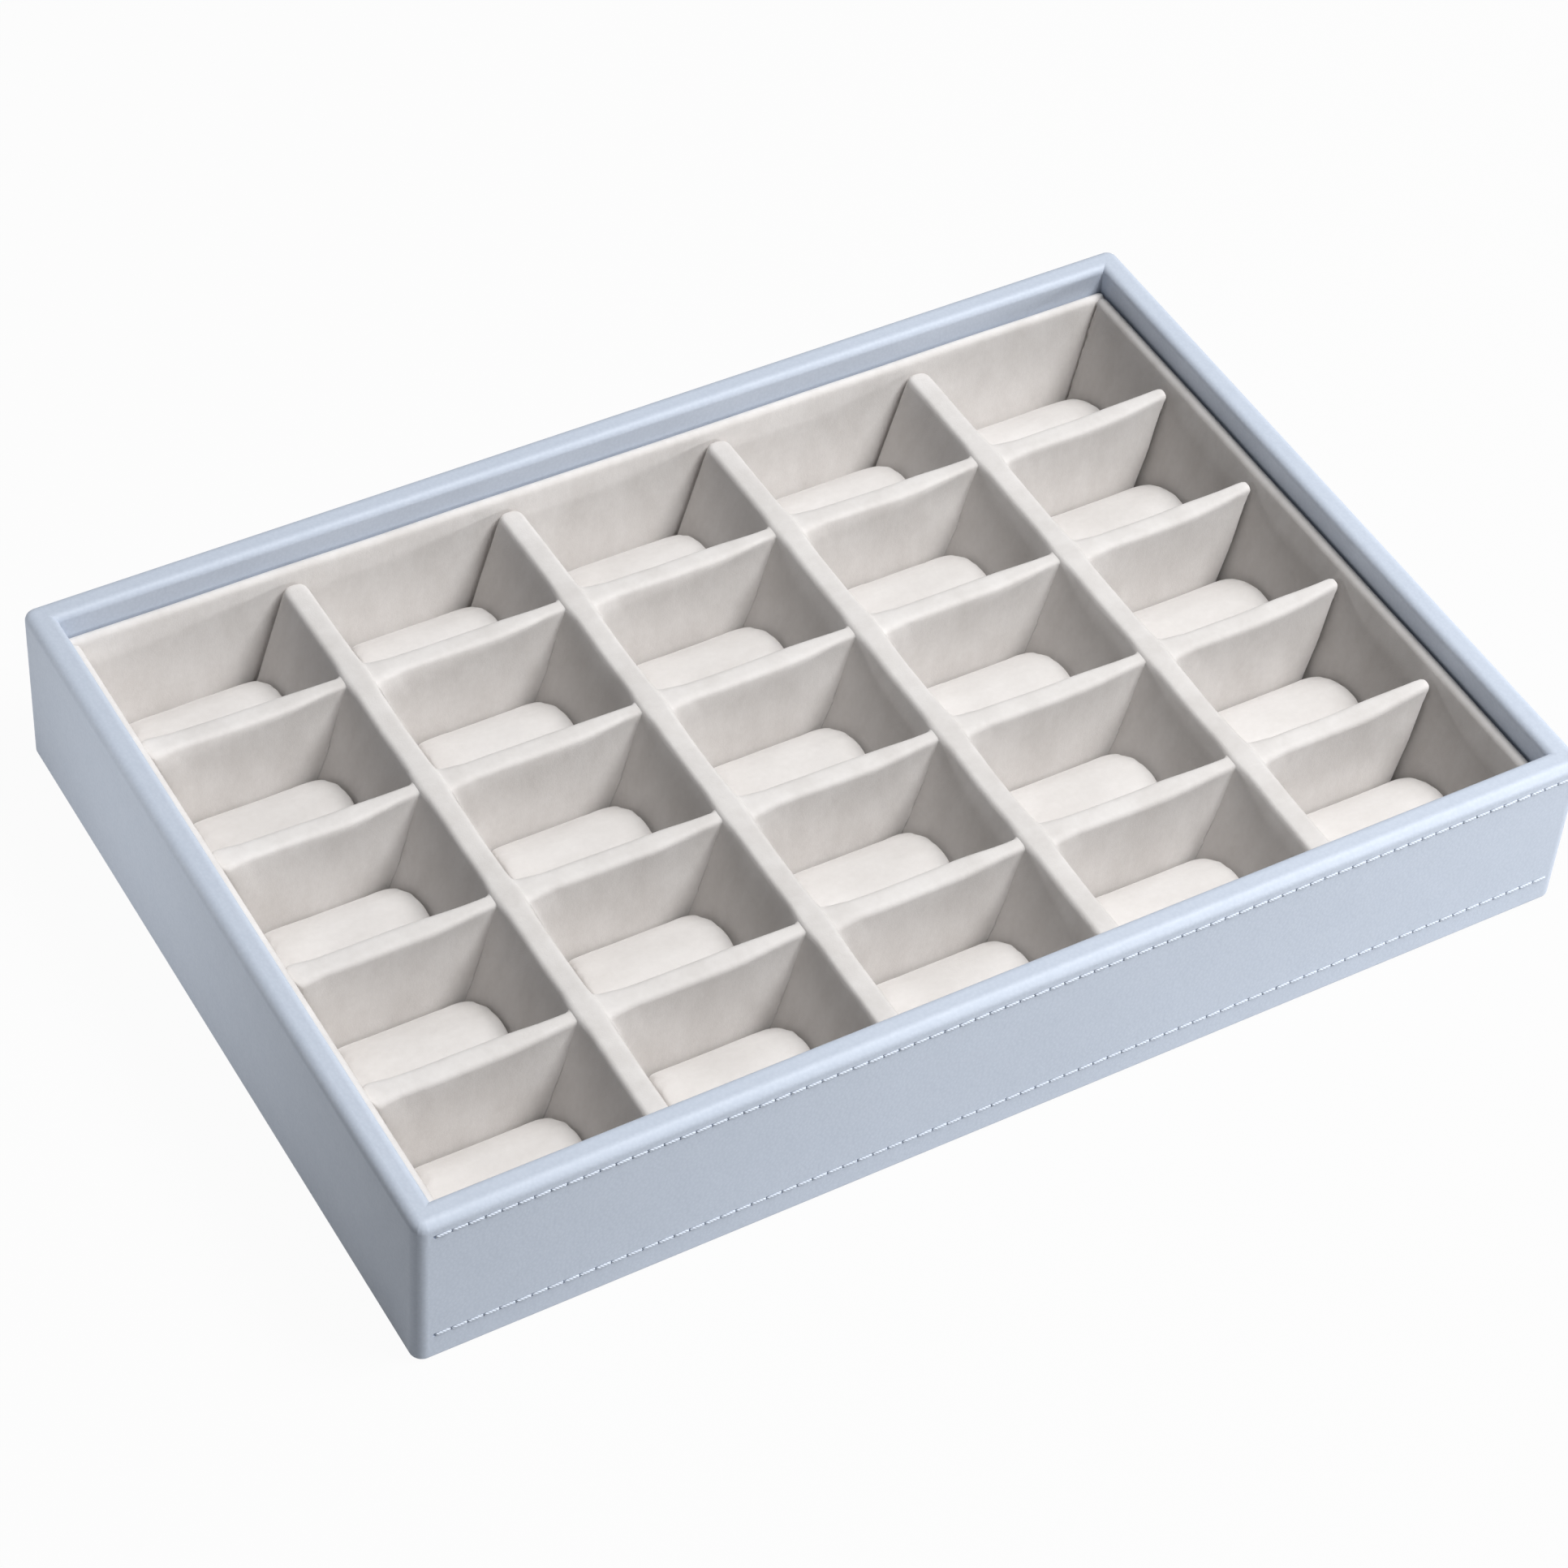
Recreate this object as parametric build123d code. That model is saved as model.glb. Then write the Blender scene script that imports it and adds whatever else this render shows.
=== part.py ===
from build123d import *
import os

# Open jewelry tray: a leatherette-covered board box with a velvet insert of 25 cells,
# each cell with its own padded ring roll. Millimetres, +Z up, +X right, -Y to the front.
# The origin is the middle of the underside.

# Overall size of the box
tray_length = 250.0
tray_depth = 170.0
tray_height = 38.0

# Box: boards dressed in leatherette
skin = 1.0
core_thickness = 3.5
base_thickness = 2.5
turn_in = 10.0
cover_gap = 0.3
corner_round = 2.5
rim_outer_round = 2.0
rim_inner_round = 1.5
foot_round = 0.8

# Stitching of the front wrap
stitch_pitch = 3.2
stitch_length = 2.2
thread_width = 0.7
thread_depth = 0.25
stitch_channel_width = 0.8
stitch_end_margin = 1.0
upper_row_drop = 3.6
lower_row_rise = 6.5

# Velvet insert: all its boards are thicker at the foot than at the head
columns = 5
rows = 5
fit_gap = 0.2
floor_card = 1.5
lining_drop = 5.5
lining_round = 0.8
side_lining_head = 2.4
side_lining_foot = 10.0
long_lining_head = 2.2
long_lining_foot = 5.0
short_divider_drop = 8.0
short_divider_head = 4.6
short_divider_foot = 23.0
long_divider_drop = 8.4
long_divider_head = 4.7
long_divider_foot = 6.6
divider_round = 1.0
divider_end_round = 2.0
divider_end_gap = 0.3
head_round_share = 0.465
cope_gap = 0.1

# Ring rolls
roll_height = 10.0
roll_shoulder = 3.5
roll_end_round = 1.0
roll_gap = 0.2

# Cutting tools run past what they cut by this much
overrun = 2.0

# Places that follow from the sizes above
wall = core_thickness + 2 * skin
opening_length = tray_length - 2 * wall
opening_depth = tray_depth - 2 * wall
base_top = skin + base_thickness
floor_top = base_top + floor_card
lining_top = tray_height - lining_drop
short_divider_top = tray_height - short_divider_drop
long_divider_top = tray_height - long_divider_drop
roll_top = floor_top + roll_height
column_pitch = opening_length / columns
row_pitch = opening_depth / rows


def block(length, depth, low, high, x=0, y=0):
    """An upright block centred at x, y between the heights low and high."""
    return Pos(x, y, low) * Box(length, depth, high - low, align=(Align.CENTER, Align.CENTER, Align.MIN))


def outer_shape():
    """The solid outer shape of the box, with its rounded corners, rim and foot."""
    shape = block(tray_length, tray_depth, 0, tray_height)
    shape = fillet(shape.edges().filter_by(Axis.Z), corner_round)
    shape = fillet(shape.faces().sort_by(Axis.Z)[-1].edges(), rim_outer_round)
    return fillet(shape.faces().sort_by(Axis.Z)[0].edges(), foot_round)


def rounded_mouth():
    """A square-cornered ring round the opening, rounded at the inner edge of the rim."""
    ring = block(tray_length, tray_depth, base_top, tray_height)
    ring -= block(opening_length, opening_depth, base_top, tray_height)
    return fillet(ring.faces().sort_by(Axis.Z)[-1].inner_wires()[0].edges(), rim_inner_round)


def core_ring():
    """The four wall cores before they are parted."""
    top = tray_height - skin
    ring = block(tray_length - 2 * skin, tray_depth - 2 * skin, skin, top)
    ring = fillet(ring.edges().filter_by(Axis.Z), corner_round - skin)
    ring -= block(opening_length + 2 * skin, opening_depth + 2 * skin, skin, top)
    ring = fillet(ring.faces().sort_by(Axis.Z)[-1].outer_wire().edges(), rim_outer_round - skin)
    return fillet(ring.faces().sort_by(Axis.Z)[-1].inner_wires()[0].edges(), rim_inner_round - skin)


def wall_cores():
    """Front and back cores run the whole length and the side cores stand between them."""
    ring = core_ring()
    place = tray_depth / 2 - skin - core_thickness / 2
    back_strip = block(tray_length, core_thickness, 0, tray_height, y=place)
    front_strip = block(tray_length, core_thickness, 0, tray_height, y=-place)
    left, right = (ring - back_strip - front_strip).solids().sort_by(Axis.X)
    return {
        "front_wall_core": ring & front_strip,
        "back_wall_core": ring & back_strip,
        "left_wall_core": left,
        "right_wall_core": right,
    }


def base_board():
    return block(opening_length + 2 * skin, opening_depth + 2 * skin, skin, base_top)


def underside_cover():
    """The panel that fills the window between the turned-in edges of the wraps."""
    inset = 2 * (turn_in + cover_gap)
    return block(tray_length - inset, tray_depth - inset, 0, skin)


def wrap_ring():
    """Leatherette of all four walls: outer face, rim, inner face and the edge turned in below."""
    shape = outer_shape()
    ring = shape - block(tray_length, tray_depth, base_top, tray_height)
    ring += shape & rounded_mouth()
    ring -= core_ring()
    ring -= base_board()
    return ring - block(tray_length - 2 * turn_in, tray_depth - 2 * turn_in, 0, skin)


def mitre_prism(side):
    """The part of the plan that belongs to one wall, cut at 45 degrees from the corners."""
    reach = turn_in + overrun
    sideways = side in ("left", "right")
    way = -1 if side in ("left", "front") else 1
    half_run = (tray_depth if sideways else tray_length) / 2
    half_across = (tray_length if sideways else tray_depth) / 2
    outer = way * (half_across + overrun)
    inner = way * (half_across - reach)
    plan = [
        (-half_run - overrun, outer),
        (half_run + overrun, outer),
        (half_run - reach, inner),
        (-half_run + reach, inner),
    ]
    if sideways:
        plan = [(across, run) for run, across in plan]
    return extrude(make_face(Polyline(*plan, close=True)), tray_height, dir=(0, 0, 1))


def stitch_run():
    """Length of the front wrap between its rounded corners that is stitched."""
    return tray_length - 2 * (corner_round + stitch_end_margin)


def stitch_channel(height):
    """The shallow pressed line that a row of stitches lies in."""
    low = height - stitch_channel_width / 2
    high = height + stitch_channel_width / 2
    return block(stitch_run(), 2 * thread_depth, low, high, y=-tray_depth / 2)


def stitch_row(height):
    """Separate stitches, flush with the leatherette, centred along the front."""
    count = int((stitch_run() - stitch_length) / stitch_pitch) + 1
    first = -(count - 1) * stitch_pitch / 2
    stitch = Rot(X=90) * extrude(SlotOverall(stitch_length, thread_width), thread_depth)
    seat = thread_depth - tray_depth / 2
    return Compound([Pos(first + n * stitch_pitch, seat, height) * stitch for n in range(count)])


def insert_floor():
    return block(opening_length - 2 * fit_gap, opening_depth - 2 * fit_gap, base_top, floor_top)


def width_at(height, foot, head, top):
    """Thickness of a leaning board at a height above the tray's underside."""
    share = (height - floor_top) / (top - floor_top)
    return foot + (head - foot) * share


def side_face(height):
    """Distance from the middle to the inner face of a side lining."""
    return opening_length / 2 - fit_gap - width_at(height, side_lining_foot, side_lining_head, lining_top)


def long_face(height):
    """Distance from the middle to the inner face of the front or back lining."""
    return opening_depth / 2 - fit_gap - width_at(height, long_lining_foot, long_lining_head, lining_top)


def leaning_prism(plane, foot, head, top):
    """A prism across the whole tray, foot wide on the insert floor and head wide at the top."""
    section = Polyline(
        (-foot / 2, floor_top),
        (foot / 2, floor_top),
        (head / 2, top),
        (-head / 2, top),
        close=True,
    )
    return extrude(plane * make_face(section), tray_length, both=True)


def space_between_sides(gap):
    """The space between the side linings, less a gap at each."""
    foot = 2 * (side_face(floor_top) - gap)
    head = 2 * (side_face(lining_top) - gap)
    return leaning_prism(Plane.XZ, foot, head, lining_top)


def space_front_to_back(gap):
    """The space between the front and back linings, less a gap at each."""
    foot = 2 * (long_face(floor_top) - gap)
    head = 2 * (long_face(lining_top) - gap)
    return leaning_prism(Plane.YZ, foot, head, lining_top)


def round_top(boards, along, rounding):
    """Rounds the long top edges of upright boards."""
    return fillet(boards.edges().filter_by(along).group_by(Axis.Z)[-1], rounding)


def linings():
    """Front and back linings run the whole length and the side ones are coped between them."""
    boards = block(opening_length - 2 * fit_gap, opening_depth - 2 * fit_gap, floor_top, lining_top)
    long_boards = round_top(boards - space_front_to_back(0), Axis.X, lining_round)
    between = boards & space_front_to_back(fit_gap)
    side_boards = round_top(between - space_between_sides(0), Axis.Y, lining_round)
    front, back = long_boards.solids().sort_by(Axis.Y)
    left, right = side_boards.solids().sort_by(Axis.X)
    return {"front_lining": front, "back_lining": back, "left_lining": left, "right_lining": right}


def end_rounding(foot, head, top):
    """The rounding of a divider's ends, limited by its head, of which a leaning side takes up more."""
    rise = top - floor_top
    slope = (rise**2 + ((foot - head) / 2) ** 2) ** 0.5
    return min(divider_end_round, head_round_share * head * rise / slope)


def round_divider(board, end_axis, rounding):
    """Rounds a divider's ends and its top, as its padding does."""
    top = board.faces().sort_by(Axis.Z)[-1].center().Z
    faces = board.faces().sort_by(end_axis)
    corners = [edge for face in (faces[0], faces[-1]) for edge in face.edges()]
    upright = [edge for edge in corners if floor_top < edge.center().Z < top]
    board = fillet(upright, rounding)
    return fillet(board.faces().sort_by(Axis.Z)[-1].edges(), divider_round)


def short_divider(column):
    """Divider to the right of a column, one board from the back lining to the front one."""
    board = leaning_prism(Plane.XZ, short_divider_foot, short_divider_head, short_divider_top)
    rounding = end_rounding(short_divider_foot, short_divider_head, short_divider_top)
    board = round_divider(board & space_front_to_back(divider_end_gap), Axis.Y, rounding)
    return Pos(X=column_end(column)) * board


def long_divider(row):
    """Divider in front of a row, a separate board in each column, coped to the short dividers."""
    board = leaning_prism(Plane.YZ, long_divider_foot, long_divider_head, long_divider_top)
    rounding = end_rounding(long_divider_foot, long_divider_head, long_divider_top)
    board = round_divider(board & space_between_sides(divider_end_gap), Axis.X, rounding)
    foot = short_divider_foot + 2 * cope_gap
    head = short_divider_head + 2 * cope_gap
    cope = leaning_prism(Plane.XZ, foot, head, short_divider_top)
    for column in range(columns - 1):
        board -= Pos(X=column_end(column)) * cope
    return Pos(Y=row_end(row)) * board


def column_end(column):
    """Middle of the divider to the right of a column, counted from the left."""
    return (column + 1 - columns / 2) * column_pitch


def row_end(row):
    """Middle of the divider in front of a row, counted from the back."""
    return (rows / 2 - 1 - row) * row_pitch


def cell_span(column, height):
    """Left and right limits of a roll at a height."""
    divider = width_at(height, short_divider_foot, short_divider_head, short_divider_top)
    half_divider = divider / 2
    low = column_end(column - 1) + half_divider
    high = column_end(column) - half_divider
    if column == 0:
        low = -side_face(height)
    if column == columns - 1:
        high = side_face(height)
    return low + roll_gap, high - roll_gap


def cell_depth_span(row):
    """Front and back limits of a roll, set by the feet of the boards."""
    low = row_end(row) + long_divider_foot / 2
    high = row_end(row - 1) - long_divider_foot / 2
    if row == 0:
        high = long_face(floor_top)
    if row == rows - 1:
        low = -long_face(floor_top)
    return low + roll_gap, high - roll_gap


def ring_roll(column, row):
    """A padded half-round roll that fills the foot of its cell, with leaning rounded ends."""
    front, back = cell_depth_span(row)
    shoulder = floor_top + roll_shoulder
    sides = Polyline((front, shoulder), (front, floor_top), (back, floor_top), (back, shoulder))
    crown = ThreePointArc((back, shoulder), ((front + back) / 2, roll_top), (front, shoulder))
    roll = extrude(Plane.YZ * make_face([*sides.edges(), crown]), tray_length, both=True)
    left_foot, right_foot = cell_span(column, floor_top)
    left_head, right_head = cell_span(column, roll_top)
    ends = Polyline(
        (left_foot, floor_top),
        (right_foot, floor_top),
        (right_head, roll_top),
        (left_head, roll_top),
        close=True,
    )
    roll &= extrude(Plane.XZ * make_face(ends), tray_depth, both=True)
    faces = roll.faces().sort_by(Axis.X)
    seams = [edge for face in (faces[0], faces[-1]) for edge in face.edges()]
    return fillet([edge for edge in seams if edge.center().Z > floor_top], roll_end_round)


def tray_nodes():
    """Every piece of the tray under its own name."""
    nodes = {
        "underside_cover": underside_cover(),
        "base_board": base_board(),
        **wall_cores(),
        "insert_floor": insert_floor(),
        **linings(),
    }
    wraps = wrap_ring()
    for side in ("front", "back", "left", "right"):
        nodes[f"{side}_leatherette"] = wraps & mitre_prism(side)
    upper_row = tray_height - upper_row_drop
    nodes["front_leatherette"] -= stitch_channel(upper_row) + stitch_channel(lower_row_rise)
    nodes["upper_stitches"] = stitch_row(upper_row)
    nodes["lower_stitches"] = stitch_row(lower_row_rise)
    for column in range(columns - 1):
        nodes[f"short_divider_{column + 1}"] = short_divider(column)
    for row in range(rows - 1):
        nodes[f"long_divider_{row + 1}"] = long_divider(row)
    for row in range(rows):
        for column in range(columns):
            nodes[f"ring_roll_{row + 1}_{column + 1}"] = ring_roll(column, row)
    return nodes


os.makedirs("parts", exist_ok=True)
for name, shape in tray_nodes().items():
    export_step(shape, f"parts/{name}.step")
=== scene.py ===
import math

import bpy
from mathutils import Matrix, Vector, noise
from mathutils.bvhtree import BVHTree


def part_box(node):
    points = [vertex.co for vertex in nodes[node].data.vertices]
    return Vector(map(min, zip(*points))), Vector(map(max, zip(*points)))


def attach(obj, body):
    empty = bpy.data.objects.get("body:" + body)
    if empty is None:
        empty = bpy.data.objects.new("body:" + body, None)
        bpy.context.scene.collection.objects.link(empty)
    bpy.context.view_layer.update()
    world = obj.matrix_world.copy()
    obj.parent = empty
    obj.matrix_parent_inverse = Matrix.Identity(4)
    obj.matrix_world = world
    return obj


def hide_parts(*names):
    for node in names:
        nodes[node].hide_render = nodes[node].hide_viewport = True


bl_info = {
    "name": "Jewelry tray",
    "version": (1, 0, 0),
    "blender": (4, 5, 0),
    "location": "3D View > Sidebar > Jewelry tray",
    "description": "Dresses an open jewelry tray with leatherette, stitching, velvet and padded ring rolls",
    "category": "Object",
}

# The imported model, which every piece is built around
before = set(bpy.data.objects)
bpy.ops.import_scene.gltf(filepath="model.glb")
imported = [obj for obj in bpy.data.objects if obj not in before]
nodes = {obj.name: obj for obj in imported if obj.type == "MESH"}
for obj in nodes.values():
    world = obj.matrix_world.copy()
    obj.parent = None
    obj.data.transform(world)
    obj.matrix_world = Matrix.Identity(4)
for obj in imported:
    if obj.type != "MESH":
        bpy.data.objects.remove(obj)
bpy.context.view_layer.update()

MM = 0.001
SIDES = ("front", "back", "left", "right")
ROLLS = sorted(name for name in nodes if name.startswith("ring_roll"))
SHORT_DIVIDERS = sorted(name for name in nodes if name.startswith("short_divider"))
LONG_DIVIDERS = sorted(name for name in nodes if name.startswith("long_divider"))
LININGS = [f"{side}_lining" for side in SIDES]
WRAPS = [f"{side}_leatherette" for side in SIDES]
BOARDS = ["base_board"] + [f"{side}_wall_core" for side in SIDES]

# Width of the waves on each kind of piece
LINING_WAVE = 30 * MM
SHORT_DIVIDER_WAVE = 22 * MM
LONG_DIVIDER_WAVE = 20 * MM
CLOSE_WAVE = 9 * MM
ROLL_WAVE = 8 * MM
STITCH_WAVE = 4 * MM

# Where the smooth chance that makes the waves starts for each kind of piece
LINING_SEED = 0
SHORT_DIVIDER_SEED = 20
LONG_DIVIDER_SEED = 40
ROLL_SEED = 60
STITCH_SEED = 80
CLOSE_WAVE_SEED = 9

# Depth of the close waves on each kind of divider, as a share of the ripple
SHORT_CLOSE_SHARE = 0.5
LONG_CLOSE_SHARE = 0.6

# A divider is stiff below this share of its height
STIFF_SHARE = 0.4

# How much a short divider sags and widens, as shares of what a long one does
SHORT_SAG_SHARE = 0.6
SHORT_FLARE_SHARE = 0.4

# Power by which the end of a long divider is drawn out, higher for a tighter corner
DRAW_POWER = 2.2

# Lean of a stitch in degrees, and how deep it sits and strays as shares of its width
STITCH_LEAN = 3.0
STITCH_SINK_SHARE = 0.15
STITCH_STRAY_SHARE = 0.1

# How close the strokes lie along each axis where the velvet is brushed
BRUSHED_ACROSS = (1.3, 1.0, 0.7)
BRUSHED_ALONG = (1.0, 1.3, 0.7)
BRUSHED_ON_ROLLS = (0.4, 1.0, 1.0)

# Painted shade: how much darker each kind of piece's velvet is painted than that of the dividers that run
# from left to right, standing in for the shade it shows under the lamps
ALONG_PAINTED_SHADE = 0.95
RIGHT_LINING_PAINTED_SHADE = 0.82
ROLL_PAINTED_SHADE = 0.94

# Filling of the rolls as cloth: the solver works on them enlarged, and they sit still on their foot
ENLARGED = 20.0
SEAT_HEIGHT = 1.5 * MM
PRESSURE = 4.0
STRETCH_STIFFNESS = 15.0
BENDING_STIFFNESS = 0.3
FILLING_FRAMES = 15

# Places of the colour sockets on a Mix node
MIX_COLOURS = (6, 7)
MIX_RESULT = 2

# Stage
SKY_LEVEL = 0.13
FLOOR_SIZE = 6.0
FLOOR_DROP = 0.2 * MM
FLOOR_GREY = 0.42
FLOOR_WHITE_SHARE = 0.96

# Camera, with the sensor in millimetres
SENSOR_WIDTH = 36.0
CLIP_START = 10 * MM

# Place, aim, size, power and spread in degrees of each lamp
LAMPS = {
    "key": ((0.60, -0.38, 1.32), (0, 0, 0), 0.6, 24.5, 180.0),
    "front_right": ((0.50, -0.70, 0.07), (0.03, -0.08, 0.02), 0.12, 2.9, 180.0),
    "low_left": ((-0.45, 0.16, 0.05), (-0.125, 0.035, 0.02), 0.06, 0.030, 40.0),
}


def from_screen(red, green, blue):
    """A colour as a screen shows it, 0 to 255, as the linear colour that a shader takes."""
    shares = [channel / 255 for channel in (red, green, blue)]
    return tuple(s / 12.92 if s <= 0.04045 else ((s + 0.055) / 1.055) ** 2.4 for s in shares)


class TrayColours(bpy.types.PropertyGroup):
    """Colours of the tray's finishes."""

    leatherette: bpy.props.FloatVectorProperty(
        name="Leatherette",
        description="Main colour of the wrapped walls",
        subtype="COLOR",
        default=from_screen(200, 209, 223),
    )
    leatherette_grain: bpy.props.FloatVectorProperty(
        name="Leatherette grain",
        description="Darker colour in the valleys of the grain",
        subtype="COLOR",
        default=from_screen(186, 196, 211),
    )
    thread: bpy.props.FloatVectorProperty(
        name="Thread",
        description="Colour of the stitching",
        subtype="COLOR",
        default=from_screen(208, 217, 230),
    )
    velvet: bpy.props.FloatVectorProperty(
        name="Velvet",
        description="Colour of the insert where its pile stands up",
        subtype="COLOR",
        default=from_screen(231, 228, 226),
    )
    velvet_brushed: bpy.props.FloatVectorProperty(
        name="Brushed velvet",
        description="Colour of the insert where its pile lies over",
        subtype="COLOR",
        default=from_screen(215, 211, 208),
    )
    felt: bpy.props.FloatVectorProperty(
        name="Felt",
        description="Colour of the panel under the base",
        subtype="COLOR",
        default=from_screen(205, 203, 200),
    )
    board: bpy.props.FloatVectorProperty(
        name="Board",
        description="Colour of the fibreboard inside the walls",
        subtype="COLOR",
        default=from_screen(176, 152, 122),
    )


class TraySizes(bpy.types.PropertyGroup):
    """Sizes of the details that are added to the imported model."""

    grain_size: bpy.props.FloatProperty(
        name="Grain",
        description="Width of one cell of the leatherette's grain",
        unit="LENGTH",
        default=0.7 * MM,
    )
    grain_depth: bpy.props.FloatProperty(
        name="Grain depth",
        description="Depth of the leatherette's grain",
        unit="LENGTH",
        default=0.05 * MM,
    )
    pile_size: bpy.props.FloatProperty(
        name="Pile",
        description="Width of one tuft of the velvet's pile",
        unit="LENGTH",
        default=0.35 * MM,
    )
    pile_depth: bpy.props.FloatProperty(
        name="Pile depth",
        description="Height of the velvet's pile",
        unit="LENGTH",
        default=0.06 * MM,
    )
    stitch_pitch: bpy.props.FloatProperty(
        name="Stitch pitch",
        description="Distance from one stitch to the next",
        unit="LENGTH",
        default=3.2 * MM,
    )
    stitch_length: bpy.props.FloatProperty(
        name="Stitch length",
        description="Length of one stitch",
        unit="LENGTH",
        default=3.12 * MM,
    )
    thread_width: bpy.props.FloatProperty(
        name="Thread width",
        description="Thickness of the sewing thread",
        unit="LENGTH",
        default=0.7 * MM,
    )
    soft_mesh: bpy.props.FloatProperty(
        name="Soft mesh",
        description="Width of the faces that the velvet pieces are remade from",
        unit="LENGTH",
        default=0.65 * MM,
    )
    swell: bpy.props.FloatProperty(
        name="Swell",
        description="How far the padding may push up the crown of a roll",
        unit="LENGTH",
        default=0.9 * MM,
    )
    side_swell: bpy.props.FloatProperty(
        name="Side swell",
        description="How far the padding may push out the sides of a roll",
        unit="LENGTH",
        default=0.15 * MM,
    )
    divider_head: bpy.props.FloatProperty(
        name="Divider head",
        description="Thickness of a divider at its top",
        unit="LENGTH",
        default=4.6 * MM,
    )
    sag: bpy.props.FloatProperty(
        name="Sag",
        description="How far the top of a divider sinks between its joints",
        unit="LENGTH",
        default=0.6 * MM,
    )
    tip_lift: bpy.props.FloatProperty(
        name="Tip lift",
        description="How far the tips of the long dividers rise at the right",
        unit="LENGTH",
        default=1.1 * MM,
    )
    flare: bpy.props.FloatProperty(
        name="Flare",
        description="How far a divider's top widens into its joints",
        unit="LENGTH",
        default=0.9 * MM,
    )
    flare_reach: bpy.props.FloatProperty(
        name="Flare reach",
        description="Length over which a divider's top widens into a joint",
        unit="LENGTH",
        default=6.0 * MM,
    )
    taper: bpy.props.FloatProperty(
        name="Taper",
        description="How far each side of a long divider's top draws in towards its right end",
        unit="LENGTH",
        default=0.8 * MM,
    )
    taper_reach: bpy.props.FloatProperty(
        name="Taper reach",
        description="Length over which a long divider's top draws in",
        unit="LENGTH",
        default=16.0 * MM,
    )
    end_reach: bpy.props.FloatProperty(
        name="End reach",
        description="Length over which the softened ends of the long dividers are drawn out",
        unit="LENGTH",
        default=4.0 * MM,
    )
    end_crest: bpy.props.FloatProperty(
        name="End crest",
        description="Depth over which the softened top corners of the long dividers are drawn up again",
        unit="LENGTH",
        default=0.9 * MM,
    )
    meeting_drop: bpy.props.FloatProperty(
        name="Meeting drop",
        description="Least depth under the top of a piece at which the long dividers meet it",
        unit="LENGTH",
        default=0.3 * MM,
    )
    corner_fill: bpy.props.FloatProperty(
        name="Corner fill",
        description="How far the softened upright corners of the long dividers are filled out again",
        unit="LENGTH",
        default=0.4 * MM,
    )
    contact_gap: bpy.props.FloatProperty(
        name="Contact gap",
        description="Space left between two pieces of velvet that meet",
        unit="LENGTH",
        default=0.03 * MM,
    )
    ripple: bpy.props.FloatProperty(
        name="Ripple",
        description="How far the velvet strays from a flat face",
        unit="LENGTH",
        default=0.22 * MM,
    )


class TrayView(bpy.types.PropertyGroup):
    """Where the camera stands."""

    azimuth: bpy.props.FloatProperty(
        name="Azimuth",
        description="Turn of the camera round the tray, negative to the left of its front",
        subtype="ANGLE",
        default=math.radians(-33.15),
    )
    elevation: bpy.props.FloatProperty(
        name="Elevation",
        description="Height of the camera above the horizon",
        subtype="ANGLE",
        default=math.radians(46.30),
    )
    roll: bpy.props.FloatProperty(
        name="Roll",
        description="Lean of the camera about its own line of sight",
        subtype="ANGLE",
        default=math.radians(4.80),
    )
    distance: bpy.props.FloatProperty(
        name="Distance",
        description="Distance from the camera to its target",
        unit="LENGTH",
        default=878.8 * MM,
    )
    target: bpy.props.FloatVectorProperty(
        name="Target",
        description="Point that the camera looks at",
        subtype="TRANSLATION",
        default=(-6.7 * MM, -6.94 * MM, 20.0 * MM),
    )
    lens: bpy.props.FloatProperty(
        name="Lens",
        description="Focal length in millimetres on a 36 mm sensor",
        default=104.3,
    )


class Wire:
    """An output of a shader node that can stand in sums and products."""

    def __init__(self, tree, socket):
        self.tree = tree
        self.socket = socket

    def maths(self, operation, first, second):
        """Adds a Math node for two values, each a wire or a number."""
        node = self.tree.nodes.new("ShaderNodeMath")
        node.operation = operation
        for place, value in enumerate((first, second)):
            if isinstance(value, Wire):
                self.tree.links.new(value.socket, node.inputs[place])
            else:
                node.inputs[place].default_value = value
        return Wire(self.tree, node.outputs[0])

    def __add__(self, other):
        return self.maths("ADD", self, other)

    __radd__ = __add__

    def __sub__(self, other):
        return self.maths("SUBTRACT", self, other)

    def __rsub__(self, other):
        return self.maths("SUBTRACT", other, self)

    def __mul__(self, other):
        return self.maths("MULTIPLY", self, other)


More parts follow.
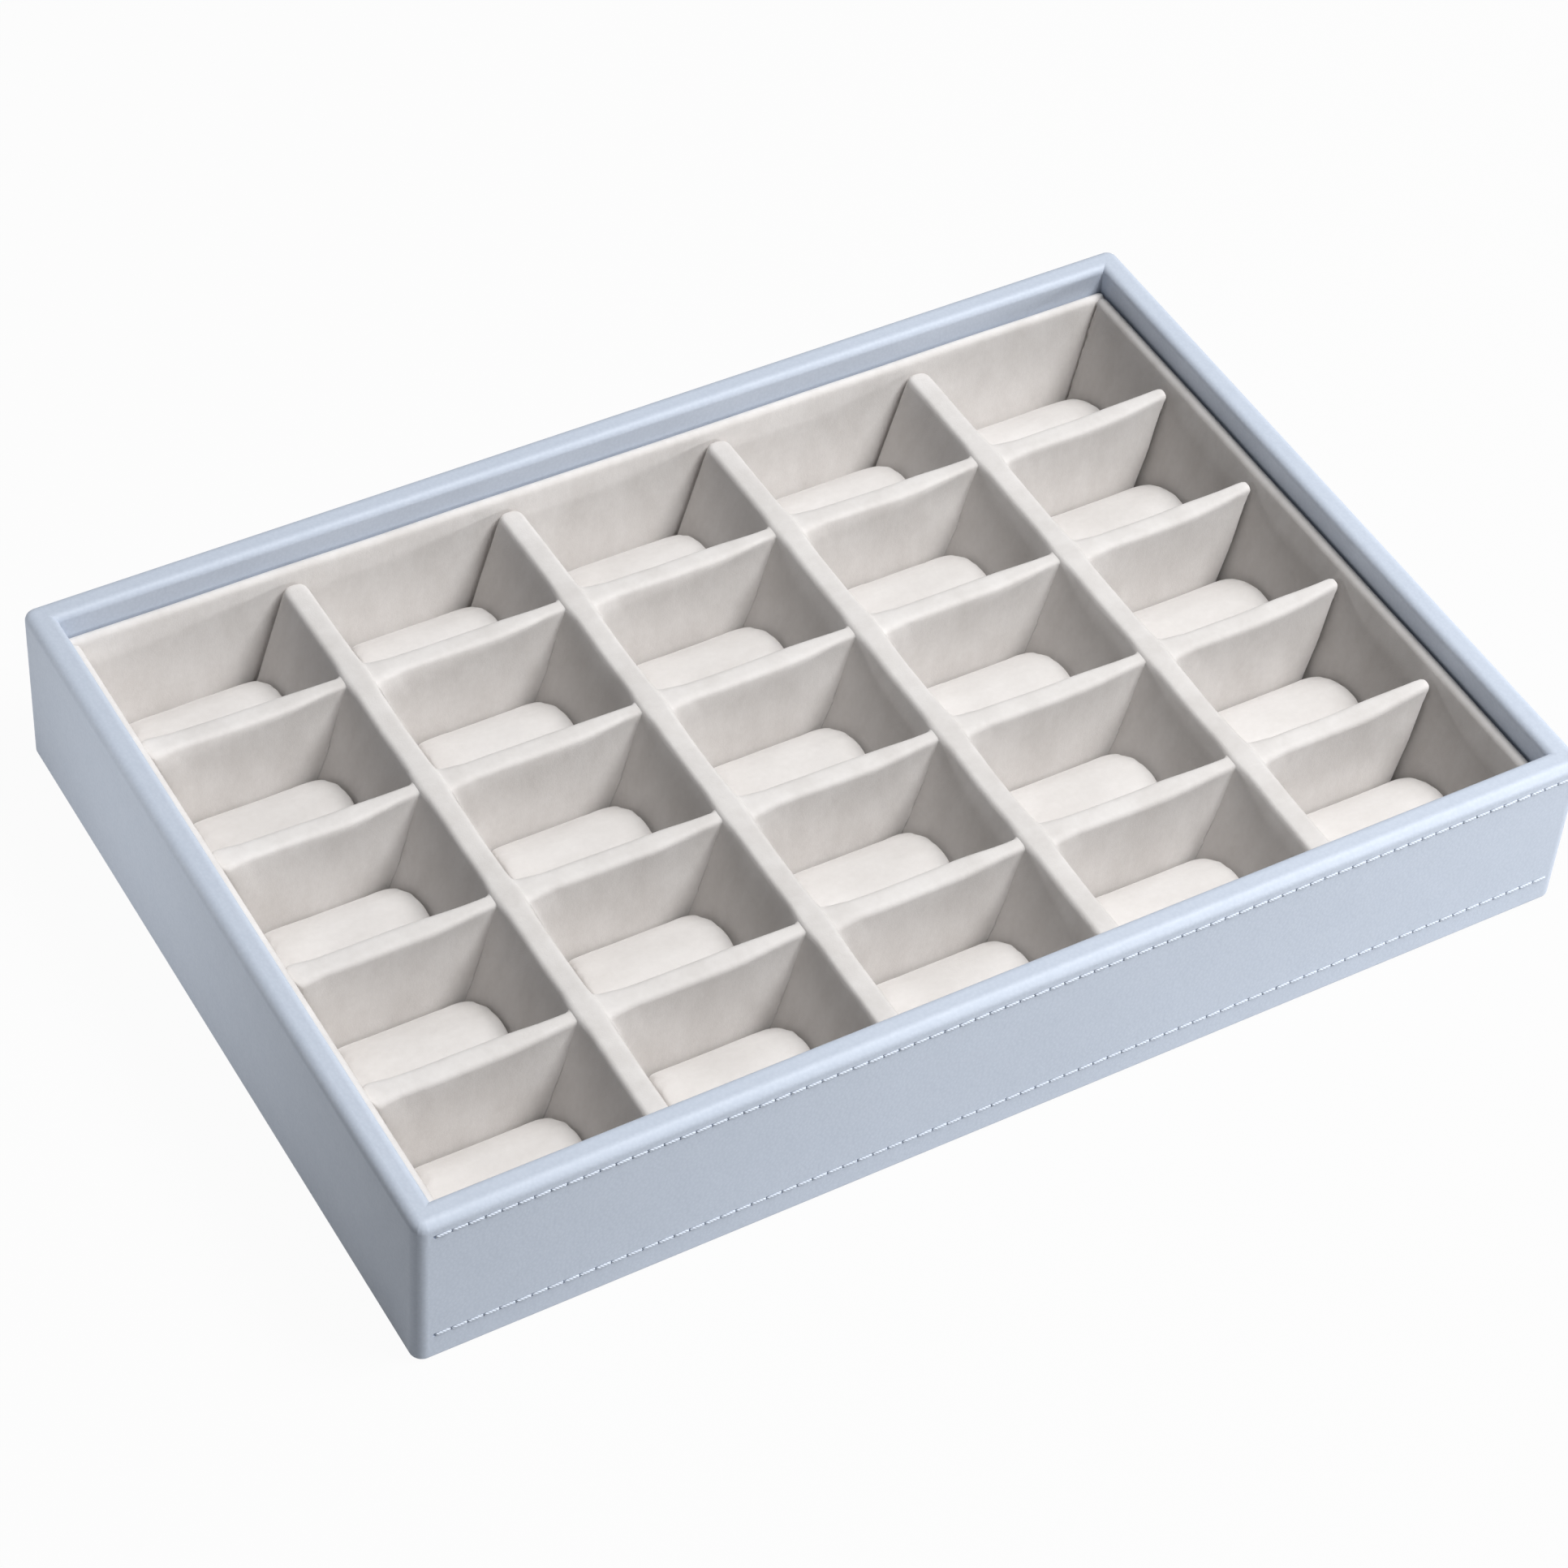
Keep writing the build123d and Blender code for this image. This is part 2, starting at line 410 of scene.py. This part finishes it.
class Finish:
    """A material that is being built from nodes."""

    def __init__(self, name):
        self.material = bpy.data.materials.new(name)
        self.material.use_nodes = True
        self.tree = self.material.node_tree
        self.tree.nodes.clear()

    def node(self, kind, settings=None, inputs=None, output=0):
        """Adds a node, sets it, feeds its sockets with values or wires, and returns one of its outputs."""
        node = self.tree.nodes.new("ShaderNode" + kind)
        for name, value in (settings or {}).items():
            if name == "stops":
                for element, (position, level) in zip(node.color_ramp.elements, value):
                    element.position = position
                    element.color = (level, level, level, 1)
            else:
                setattr(node, name, value)
        for name, value in (inputs or {}).items():
            if isinstance(value, Wire):
                self.tree.links.new(value.socket, node.inputs[name])
            elif isinstance(value, (tuple, list)) and node.inputs[name].type == "RGBA":
                node.inputs[name].default_value = (*value[:3], 1)
            else:
                node.inputs[name].default_value = value
        return Wire(self.tree, node.outputs[output]) if node.outputs else None

    def places(self):
        """Object coordinates, in metres in the tray's own frame."""
        return self.node("TexCoord", output="Object")

    def noise(self, size, detail=2.0, roughness=0.5, vector=None):
        """Smooth noise with patches about as wide as the size."""
        inputs = {
            "Vector": vector or self.places(),
            "Scale": 1 / size,
            "Detail": detail,
            "Roughness": roughness,
        }
        return self.node("TexNoise", inputs=inputs, output="Fac")

    def blend(self, share, first, second):
        """A colour between two, each a wire or a colour."""
        mixed = self.node("Mix", {"data_type": "RGBA"}, {"Factor": share}, output=MIX_RESULT)
        node = mixed.socket.node
        for place, colour in zip(MIX_COLOURS, (first, second)):
            if isinstance(colour, Wire):
                self.tree.links.new(colour.socket, node.inputs[place])
            else:
                node.inputs[place].default_value = (*colour[:3], 1)
        return mixed

    def bump(self, height, depth, normal=None, strength=1.0):
        """A normal bent by a height that runs from 0 to 1 over the depth."""
        inputs = {"Height": height, "Distance": depth, "Strength": strength}
        if normal:
            inputs["Normal"] = normal
        return self.node("Bump", inputs=inputs)

    def surface(self, **inputs):
        """Closes the material with a principled surface."""
        named = {name.replace("_", " "): value for name, value in inputs.items()}
        shader = self.node("BsdfPrincipled", inputs=named)
        self.node("OutputMaterial", inputs={"Surface": shader})
        return self.material


def leatherette_finish(colours, sizes):
    """Pale coated cloth with a fine pebble grain, soft creases and a satin coat."""
    finish = Finish("leatherette")
    warp = finish.noise(4 * sizes.grain_size, detail=1.0)
    cells = finish.node(
        "TexVoronoi",
        {"feature": "SMOOTH_F1"},
        {"Vector": finish.places(), "Scale": 1 / sizes.grain_size, "Smoothness": 0.6, "Randomness": 1.0},
        output="Distance",
    )
    pebble = cells * 0.8 + warp * 0.3
    patches = finish.noise(45 * MM, detail=3.0)
    mottle = finish.noise(4 * MM, detail=4.0, roughness=0.6)
    valleys = finish.node("ValToRGB", {"stops": [(0.30, 0.0), (0.75, 1.0)]}, {"Fac": pebble})
    share = valleys * 0.35 + patches * 0.35 + mottle * 0.2
    colour = finish.blend(share, tuple(colours.leatherette), tuple(colours.leatherette_grain))
    waves = finish.bump(finish.noise(30 * MM), 0.5 * MM, strength=0.6)
    grain = finish.bump(1 - pebble, sizes.grain_depth, normal=waves, strength=0.5)
    return finish.surface(
        Base_Color=colour,
        Roughness=0.50 + mottle * 0.16,
        Specular_IOR_Level=0.45,
        Coat_Weight=0.06,
        Coat_Roughness=0.45,
        Normal=grain,
    )


def velvet_finish(name, colours, sizes, brush, shade=1.0):
    """Short-piled velvet: matt, mottled where it was brushed, and with a soft sheen."""
    finish = Finish(name)
    stretched = finish.node("Mapping", inputs={"Vector": finish.places(), "Scale": brush})
    strokes = finish.noise(9 * MM, detail=3.0, roughness=0.55, vector=stretched)
    flecks = finish.noise(1.2 * MM)
    pile = finish.noise(sizes.pile_size, roughness=0.6)
    share = finish.node("ValToRGB", {"stops": [(0.35, 0.0), (0.70, 1.0)]}, {"Fac": strokes})
    share = share * 0.6 + flecks * 0.5 - 0.1
    # The shade factor darkens the whole colour: painted shade, below 1 on pieces that are meant to look
    # shaded
    standing = tuple(shade * channel for channel in colours.velvet)
    lying = tuple(shade * channel for channel in colours.velvet_brushed)
    colour = finish.blend(share, standing, lying)
    soft = finish.bump(strokes, 0.5 * MM, strength=0.35)
    tufts = finish.bump(pile, sizes.pile_depth, normal=soft, strength=0.6)
    return finish.surface(
        Base_Color=colour,
        Roughness=0.92,
        Specular_IOR_Level=0.15,
        Sheen_Weight=0.25,
        Sheen_Roughness=0.45,
        Normal=tufts,
    )


def thread_finish(colours):
    """Twisted sewing thread, with its strands slanting along each stitch."""
    finish = Finish("thread")
    strands = finish.node(
        "TexWave",
        {"wave_type": "BANDS", "bands_direction": "DIAGONAL"},
        {"Vector": finish.places(), "Scale": 900.0, "Distortion": 0.4},
        output="Fac",
    )
    dark = tuple(channel * 0.82 for channel in colours.thread)
    colour = finish.blend(strands * 0.6, tuple(colours.thread), dark)
    return finish.surface(
        Base_Color=colour, Roughness=0.62, Sheen_Weight=0.1, Normal=finish.bump(strands, 0.06 * MM)
    )


def felt_finish(colours):
    """Pressed felt with loose fibres."""
    finish = Finish("felt")
    fibres = finish.noise(0.9 * MM, detail=5.0, roughness=0.7)
    colour = finish.blend(fibres * 0.6, tuple(colours.felt), tuple(c * 0.8 for c in colours.felt))
    return finish.surface(Base_Color=colour, Roughness=0.95, Normal=finish.bump(fibres, 0.15 * MM))


def board_finish(colours):
    """Fibreboard, hidden inside the wraps."""
    finish = Finish("fibreboard")
    fibres = finish.noise(1.5 * MM, detail=5.0, roughness=0.7)
    colour = finish.blend(fibres * 0.7, tuple(colours.board), tuple(c * 0.7 for c in colours.board))
    return finish.surface(Base_Color=colour, Roughness=0.85, Normal=finish.bump(fibres, 0.1 * MM))


def paint(piece, material):
    """Gives a piece one material all over."""
    piece.data.materials.clear()
    piece.data.materials.append(material)


def only(piece):
    """Leaves one object selected and active."""
    bpy.ops.object.select_all(action="DESELECT")
    piece.select_set(True)
    bpy.context.view_layer.objects.active = piece


def ride_and_name(piece, name):
    """Names a finished piece and lets it ride on the tray."""
    piece.name = name
    piece.data.name = name
    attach(piece, "root")


class TRAY_OT_leatherette(bpy.types.Operator):
    """Dress the four wraps in leatherette"""

    bl_idname = "tray.leatherette"
    bl_label = "Leatherette"

    def execute(self, context):
        scene = context.scene
        material = leatherette_finish(scene.tray_colours, scene.tray_sizes)
        for name in WRAPS:
            paint(nodes[name], material)
        return {"FINISHED"}


class TRAY_OT_boards(bpy.types.Operator):
    """Finish the hidden boards and the felt under the base"""

    bl_idname = "tray.boards"
    bl_label = "Boards and felt"

    def execute(self, context):
        colours = context.scene.tray_colours
        board = board_finish(colours)
        for name in BOARDS:
            paint(nodes[name], board)
        paint(nodes["underside_cover"], felt_finish(colours))
        return {"FINISHED"}


def soft_copy(name, cell, rounds):
    """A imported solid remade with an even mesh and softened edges, as its velvet makes it."""
    piece = bpy.data.objects.new("soft_" + name, nodes[name].data.copy())
    bpy.context.scene.collection.objects.link(piece)
    only(piece)
    bpy.ops.object.mode_set(mode="EDIT")
    bpy.ops.mesh.select_all(action="SELECT")
    bpy.ops.mesh.remove_doubles(threshold=0.01 * MM)
    bpy.ops.object.mode_set(mode="OBJECT")
    modifier = piece.modifiers.new("even_mesh", "REMESH")
    modifier.mode = "VOXEL"
    modifier.voxel_size = cell
    bpy.ops.object.modifier_apply(modifier=modifier.name)
    modifier = piece.modifiers.new("soft_edges", "SMOOTH")
    modifier.factor = 0.5
    modifier.iterations = rounds
    bpy.ops.object.modifier_apply(modifier=modifier.name)
    bpy.ops.object.shade_smooth()
    return piece


def ease(value, start, end):
    """Rises smoothly from 0 at the start to 1 at the end."""
    share = min(max((value - start) / (end - start), 0.0), 1.0)
    return share * share * (3 - 2 * share)


def ripple(place, size, seed):
    """Smooth chance between -1 and 1 that changes over the size, the same in each run."""
    return noise.noise(Vector(place) / size + Vector((seed, 0.0, 0.0)))


def middles(names, axis):
    """Middle of each node along an axis, in rising order."""
    return sorted(sum(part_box(name)[end][axis] for end in (0, 1)) / 2 for name in names)


def nearest(places, place):
    """Distance to the nearest of some places."""
    return min(abs(place - other) for other in places)


def limber(place, low, high):
    """How freely a divider bends at a place: 0 in its stiff part and 1 at its top."""
    return ease(place.z, low.z + STIFF_SHARE * (high.z - low.z), high.z)


def dress_short_divider(name, sizes, seed):
    """Divider from back to front: its top sags between the long dividers and widens at them."""
    piece = soft_copy(name, sizes.soft_mesh, 1)
    low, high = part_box(name)
    middle = (low.x + high.x) / 2
    half_head = sizes.divider_head / 2
    joints = middles(LONG_DIVIDERS, 1)
    half_pitch = (joints[1] - joints[0]) / 2
    for vertex in piece.data.vertices:
        place = vertex.co
        upper = limber(place, low, high)
        away = nearest(joints, place.y)
        growth = SHORT_FLARE_SHARE * sizes.flare * (1 - ease(away, 0.0, sizes.flare_reach))
        place.z -= SHORT_SAG_SHARE * sizes.sag * upper * ease(away, 0.0, half_pitch)
        place.x += (place.x - middle) * upper * growth / half_head
        place.x += sizes.ripple * upper * ripple((0, place.y, 0), SHORT_DIVIDER_WAVE, seed)
        close = SHORT_CLOSE_SHARE * ripple(place, CLOSE_WAVE, seed + CLOSE_WAVE_SEED)
        place.x += sizes.ripple * close
    return piece


def side_met(tree, place, middle, highest, way):
    """Where a level line from the middle meets the piece beside it, no higher than the highest."""
    start = Vector((middle, place.y, min(place.z, highest)))
    return tree.ray_cast(start, Vector((way, 0, 0)))[0]


def dress_long_divider(name, sizes, seed, beside):
    """Dividers of one row: they sag, widen to the left, taper to the right and meet what is beside them."""
    piece = soft_copy(name, sizes.soft_mesh, 1)
    low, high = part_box(name)
    middle = (low.y + high.y) / 2
    half_head = sizes.divider_head / 2
    joints = [low.x] + middles(SHORT_DIVIDERS, 0) + [high.x]
    last = len(joints) - 2
    depsgraph = bpy.context.evaluated_depsgraph_get()
    trees = [BVHTree.FromObject(other, depsgraph) for other in beside]
    tops = [max(vertex.co.z for vertex in other.data.vertices) - sizes.meeting_drop for other in beside]
    crest_foot = high.z - 1.6 * sizes.end_crest
    crest_head = high.z - 0.7 * sizes.end_crest
    for vertex in piece.data.vertices:
        place = vertex.co
        upper = limber(place, low, high)
        column = max(0, min(last, sum(place.x > joint for joint in joints) - 1))
        left, right = joints[column : column + 2]
        centre = (left + right) / 2
        share = (place.x - left) / (right - left)
        for way, other in ((-1, column), (1, column + 1)):
            # Nothing is met at the far right, where the row keeps its own end
            spot = None
            if other <= last:
                spot = side_met(trees[other], place, centre, tops[other], way)
            if spot:
                away = (spot.x - place.x) * way
                near = 1 - ease(away, 0.0, 2 * sizes.end_crest)
                place.z += (high.z - place.z) * ease(place.z, crest_foot, crest_head) * near
            else:
                away = abs((left if way < 0 else right) - place.x)
            if way < 0:
                growth = sizes.flare * (1 - ease(away, 0.0, sizes.flare_reach))
            else:
                growth = -sizes.taper * (1 - ease(away, 0.0, sizes.taper_reach))
            fill = sizes.corner_fill * (1 - ease(away, 0.0, 4 * sizes.corner_fill))
            place.y += (place.y - middle) * (upper * growth + fill) / half_head
            # The place has moved since, so the side is met again at its new height and depth
            if spot and away < sizes.end_reach:
                spot = side_met(trees[other], place, centre, tops[other], way) or spot
                drawn = max(away / sizes.end_reach, 0.0) ** DRAW_POWER * sizes.end_reach
                place.x = spot.x - max(drawn, sizes.contact_gap) * way
        place.z -= sizes.sag * upper * 4 * share * (1 - share)
        if column == last:
            place.z += sizes.tip_lift * upper * share ** 3
        place.y += sizes.ripple * upper * ripple((place.x, 0, 0), LONG_DIVIDER_WAVE, seed)
        close = LONG_CLOSE_SHARE * ripple(place, CLOSE_WAVE, seed + CLOSE_WAVE_SEED)
        place.y += sizes.ripple * close
    return piece


def dress_lining(name, sizes, seed):
    """Lining board with a softly uneven top."""
    piece = soft_copy(name, sizes.soft_mesh, 1)
    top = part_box(name)[1].z
    uneven_depth = 6 * MM
    for vertex in piece.data.vertices:
        place = vertex.co
        upper = ease(place.z, top - uneven_depth, top)
        place.z += sizes.ripple * upper * (ripple(place, LINING_WAVE, seed) - 0.5)
    return piece


class TRAY_OT_insert(bpy.types.Operator):
    """Make the velvet-covered linings and dividers of the insert, and dress its floor"""

    bl_idname = "tray.insert"
    bl_label = "Velvet insert"

    def execute(self, context):
        scene = context.scene
        sizes = scene.tray_sizes
        colours = scene.tray_colours
        across = velvet_finish("velvet_across", colours, sizes, BRUSHED_ACROSS)
        # The short dividers and the insert floor take velvet with a painted shade
        along = velvet_finish("velvet_along_with_painted_shade", colours, sizes, BRUSHED_ALONG, ALONG_PAINTED_SHADE)
        # Deeper painted shade for the right lining, which faces away from the key lamp
        painted_shade_velvet = velvet_finish("velvet_right_lining_painted_shade", colours, sizes, BRUSHED_ALONG, RIGHT_LINING_PAINTED_SHADE)
        paint(nodes["insert_floor"], along)
        made = {}
        for seed, name in enumerate(LININGS):
            made[name] = dress_lining(name, sizes, LINING_SEED + seed)
        for seed, name in enumerate(SHORT_DIVIDERS):
            made[name] = dress_short_divider(name, sizes, SHORT_DIVIDER_SEED + seed)
        beside = [made["left_lining"]] + [made[name] for name in SHORT_DIVIDERS]
        for seed, name in enumerate(LONG_DIVIDERS):
            made[name] = dress_long_divider(name, sizes, LONG_DIVIDER_SEED + seed, beside)
        # Short dividers get the velvet with painted shade, the right lining the one with deeper painted
        # shade
        dress = {name: along for name in SHORT_DIVIDERS}
        dress["right_lining"] = painted_shade_velvet
        for name, piece in made.items():
            paint(piece, dress.get(name, across))
            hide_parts(name)
            ride_and_name(piece, "velvet_" + name)
        return {"FINISHED"}


def swell(piece, sizes):
    """Fills a roll as cloth under pressure, enlarged for the solver, and caps how far it moves."""
    scene = bpy.context.scene
    rest = [vertex.co.copy() for vertex in piece.data.vertices]
    centre = sum(rest, Vector()) / len(rest)
    seat_top = min(place.z for place in rest) + SEAT_HEIGHT
    for vertex, place in zip(piece.data.vertices, rest):
        vertex.co = (place - centre) * ENLARGED
    seat = piece.vertex_groups.new(name="seat")
    seat.add([number for number, place in enumerate(rest) if place.z < seat_top], 1.0, "REPLACE")
    only(piece)
    cloth = piece.modifiers.new("filling", "CLOTH")
    settings = cloth.settings
    settings.use_pressure = True
    settings.uniform_pressure_force = PRESSURE
    settings.effector_weights.gravity = 0.0
    settings.vertex_group_mass = "seat"
    settings.tension_stiffness = STRETCH_STIFFNESS
    settings.compression_stiffness = STRETCH_STIFFNESS
    settings.bending_stiffness = BENDING_STIFFNESS
    for number in range(1, FILLING_FRAMES + 1):
        scene.frame_set(number)
    filled = piece.evaluated_get(bpy.context.evaluated_depsgraph_get()).data
    places = [vertex.co / ENLARGED + centre for vertex in filled.vertices]
    piece.modifiers.remove(cloth)
    piece.vertex_groups.remove(seat)
    scene.frame_set(1)
    for vertex, start, end in zip(piece.data.vertices, rest, places):
        move = end - start
        move.x = max(-sizes.side_swell, min(sizes.side_swell, move.x))
        move.y = max(-sizes.side_swell, min(sizes.side_swell, move.y))
        move.z = max(-sizes.side_swell, min(sizes.swell, move.z))
        vertex.co = start + move


def soft_roll(name, sizes):
    """A padded roll, filled until its velvet is taut."""
    piece = soft_copy(name, 1.5 * sizes.soft_mesh, 2)
    swell(piece, sizes)
    only(piece)
    modifier = piece.modifiers.new("smooth_skin", "SUBSURF")
    modifier.levels = 1
    modifier.render_levels = 1
    bpy.ops.object.modifier_apply(modifier=modifier.name)
    return piece


def roll_shape(name):
    """What two rolls of the same size and ends have in common."""
    row, column = name.split("_")[-2:]
    edge = column if column in ("1", "5") else "inner"
    depth = row if row in ("1", "5") else "inner"
    return edge, depth


class TRAY_OT_ring_rolls(bpy.types.Operator):
    """Make the padded ring rolls that replace the plain solids"""

    bl_idname = "tray.ring_rolls"
    bl_label = "Ring rolls"

    def execute(self, context):
        scene = context.scene
        sizes = scene.tray_sizes
        colours = scene.tray_colours
        # The rolls' velvet is darkened a little: painted shade
        material = velvet_finish("velvet_rolls", colours, sizes, BRUSHED_ON_ROLLS, ROLL_PAINTED_SHADE)
        patterns = {}
        for seed, name in enumerate(ROLLS):
            shape = roll_shape(name)
            low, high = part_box(name)
            if shape in patterns:
                corner, pattern = patterns[shape]
                piece = bpy.data.objects.new(name, pattern.copy())
                scene.collection.objects.link(piece)
            else:
                piece = soft_roll(name, sizes)
                corner, pattern = low.copy(), piece.data.copy()
                patterns[shape] = (corner, pattern)
            even_height = low.z + 2 * MM
            for vertex, model in zip(piece.data.vertices, pattern.vertices):
                upper = ease(model.co.z, even_height, high.z)
                place = model.co + low - corner
                place.z += sizes.ripple * upper * ripple(place, ROLL_WAVE, ROLL_SEED + seed)
                vertex.co = place
            paint(piece, material)
            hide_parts(name)
            ride_and_name(piece, "padded_" + name)
        for corner, pattern in patterns.values():
            bpy.data.meshes.remove(pattern)
        return {"FINISHED"}


def plump(place):
    """Moves a point of a ball, half wide, out to a rod along X with round ends."""
    girth = 2 * math.hypot(place.y, place.z)
    place.x = math.copysign(math.sqrt(2 * abs(place.x)) / 2, place.x)
    if girth > 0:
        place.yz = (place.y / math.sqrt(girth), place.z / math.sqrt(girth))


def stitch_thread(row, sizes, material):
    """One row of rounded stitches along the front, in the pressed line of the wrap."""
    low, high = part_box(row)
    count = round((high.x - low.x - sizes.stitch_length) / sizes.stitch_pitch) + 1
    middle = (low + high) / 2
    bpy.ops.object.select_all(action="DESELECT")
    bpy.ops.mesh.primitive_uv_sphere_add(segments=12, ring_count=8, radius=0.5)
    stitch = bpy.context.object
    for vertex in stitch.data.vertices:
        plump(vertex.co)
    stitch.scale = (sizes.stitch_length, sizes.thread_width, sizes.thread_width)
    bpy.ops.object.transform_apply(location=False, rotation=False, scale=True)
    bpy.ops.object.shade_smooth()
    first = low.x + sizes.stitch_length / 2
    copies = []
    for number in range(count):
        copy = bpy.data.objects.new(f"stitch_{number}", stitch.data.copy())
        bpy.context.scene.collection.objects.link(copy)
        along = number * sizes.stitch_pitch
        stray = ripple((along, 0, middle.z), STITCH_WAVE, STITCH_SEED)
        sunk = (STITCH_SINK_SHARE + STITCH_STRAY_SHARE * stray) * sizes.thread_width
        copy.location = (first + along, low.y + sunk, middle.z)
        copy.rotation_euler = (0, math.radians(STITCH_LEAN * (stray - 1)), 0)
        copies.append(copy)
    bpy.data.objects.remove(stitch)
    bpy.ops.object.select_all(action="DESELECT")
    for copy in copies:
        copy.select_set(True)
    bpy.context.view_layer.objects.active = copies[0]
    bpy.ops.object.join()
    bpy.ops.object.transform_apply(location=True, rotation=True, scale=True)
    piece = bpy.context.object
    paint(piece, material)
    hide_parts(row)
    ride_and_name(piece, row + "_thread")


class TRAY_OT_stitching(bpy.types.Operator):
    """Sew the two rows of stitches on the front"""

    bl_idname = "tray.stitching"
    bl_label = "Stitching"

    def execute(self, context):
        scene = context.scene
        material = thread_finish(scene.tray_colours)
        for row in ("upper_stitches", "lower_stitches"):
            stitch_thread(row, scene.tray_sizes, material)
        return {"FINISHED"}


def seen(tree):
    """1 for a ray from the camera or from a shiny or clear surface, and 0 for any other."""
    outputs = tree.nodes.new("ShaderNodeLightPath").outputs
    straight = Wire(tree, outputs["Is Camera Ray"])
    return straight + Wire(tree, outputs["Is Glossy Ray"]) + Wire(tree, outputs["Is Transmission Ray"])


def floor_finish():
    """A white floor that shows as white but keeps a soft shadow."""
    finish = Finish("studio_floor")
    diffuse = finish.node("BsdfDiffuse", inputs={"Color": (FLOOR_GREY, FLOOR_GREY, FLOOR_GREY)})
    white = finish.node("Emission", inputs={"Color": (1.0, 1.0, 1.0), "Strength": 1.0})
    mixed = finish.node("MixShader", inputs={"Fac": seen(finish.tree) * FLOOR_WHITE_SHARE})
    node = mixed.socket.node
    finish.tree.links.new(diffuse.socket, node.inputs[1])
    finish.tree.links.new(white.socket, node.inputs[2])
    finish.node("OutputMaterial", inputs={"Surface": mixed})
    return finish.material


def world_light(level):
    """An even pale sky that shows as white."""
    world = bpy.data.worlds.new("studio")
    bpy.context.scene.world = world
    world.use_nodes = True
    tree = world.node_tree
    tree.nodes.clear()
    sky = tree.nodes.new("ShaderNodeBackground")
    sky.inputs["Strength"].default_value = level
    white = tree.nodes.new("ShaderNodeBackground")
    mix = tree.nodes.new("ShaderNodeMixShader")
    out = tree.nodes.new("ShaderNodeOutputWorld")
    tree.links.new(seen(tree).socket, mix.inputs[0])
    tree.links.new(sky.outputs[0], mix.inputs[1])
    tree.links.new(white.outputs[0], mix.inputs[2])
    tree.links.new(mix.outputs[0], out.inputs[0])


def soft_box(name, place, aim, size, power, spread):
    """A square lamp that looks at a point, its beam as wide as the spread in degrees."""
    lamp = bpy.data.lights.new(name, "AREA")
    lamp.shape = "SQUARE"
    lamp.size = size
    lamp.energy = power
    lamp.spread = math.radians(spread)
    holder = bpy.data.objects.new(name, lamp)
    bpy.context.scene.collection.objects.link(holder)
    holder.location = place
    holder.rotation_euler = (Vector(aim) - Vector(place)).to_track_quat("-Z", "Y").to_euler()


def add_floor():
    """A wide floor just under the tray, which belongs to the stage."""
    bpy.ops.object.select_all(action="DESELECT")
    bpy.ops.mesh.primitive_plane_add(size=FLOOR_SIZE, location=(0, 0, -FLOOR_DROP))
    floor = bpy.context.object
    floor.name = "studio_floor"
    bpy.ops.object.transform_apply(location=True)
    paint(floor, floor_finish())


def add_camera(view):
    """A camera that stands round its target where the view says, and leans by its roll."""
    az, el = view.azimuth, view.elevation
    back = Vector((math.sin(az) * math.cos(el), -math.cos(az) * math.cos(el), math.sin(el)))
    right = (-back).cross(Vector((0, 0, 1))).normalized()
    up = right.cross(-back)
    across = right * math.cos(view.roll) + up * math.sin(view.roll)
    upward = up * math.cos(view.roll) - right * math.sin(view.roll)
    turn = Matrix((across, upward, back)).transposed().to_4x4()
    lens = bpy.data.cameras.new("camera")
    lens.lens = view.lens
    lens.sensor_width = SENSOR_WIDTH
    lens.clip_start = CLIP_START
    camera = bpy.data.objects.new("camera", lens)
    bpy.context.scene.collection.objects.link(camera)
    camera.matrix_world = Matrix.Translation(Vector(view.target) + back * view.distance) @ turn
    bpy.context.scene.camera = camera


class TRAY_OT_stage(bpy.types.Operator):
    """Set up the floor, the lamps and the camera"""

    bl_idname = "tray.stage"
    bl_label = "Stage"

    def execute(self, context):
        scene = context.scene
        add_floor()
        world_light(SKY_LEVEL)
        for name, settings in LAMPS.items():
            soft_box(name, *settings)
        add_camera(scene.tray_view)
        scene.view_settings.view_transform = "Standard"
        return {"FINISHED"}


STEPS = (
    TRAY_OT_leatherette,
    TRAY_OT_boards,
    TRAY_OT_insert,
    TRAY_OT_ring_rolls,
    TRAY_OT_stitching,
    TRAY_OT_stage,
)


class TRAY_PT_panel(bpy.types.Panel):
    """Lists the steps that dress the tray"""

    bl_idname = "TRAY_PT_panel"
    bl_label = "Jewelry tray"
    bl_space_type = "VIEW_3D"
    bl_region_type = "UI"
    bl_category = "Jewelry tray"

    def draw(self, context):
        for step in STEPS:
            self.layout.operator(step.bl_idname)


CLASSES = (TrayColours, TraySizes, TrayView) + STEPS + (TRAY_PT_panel,)
GROUPS = {"tray_colours": TrayColours, "tray_sizes": TraySizes, "tray_view": TrayView}


def register():
    for cls in CLASSES:
        bpy.utils.register_class(cls)
    for name, group in GROUPS.items():
        setattr(bpy.types.Scene, name, bpy.props.PointerProperty(type=group))


def unregister():
    for name in GROUPS:
        delattr(bpy.types.Scene, name)
    for cls in reversed(CLASSES):
        bpy.utils.unregister_class(cls)


def main():
    register()
    bpy.ops.tray.leatherette()
    bpy.ops.tray.boards()
    bpy.ops.tray.insert()
    bpy.ops.tray.ring_rolls()
    bpy.ops.tray.stitching()
    bpy.ops.tray.stage()


if __name__ == "__main__":
    main()
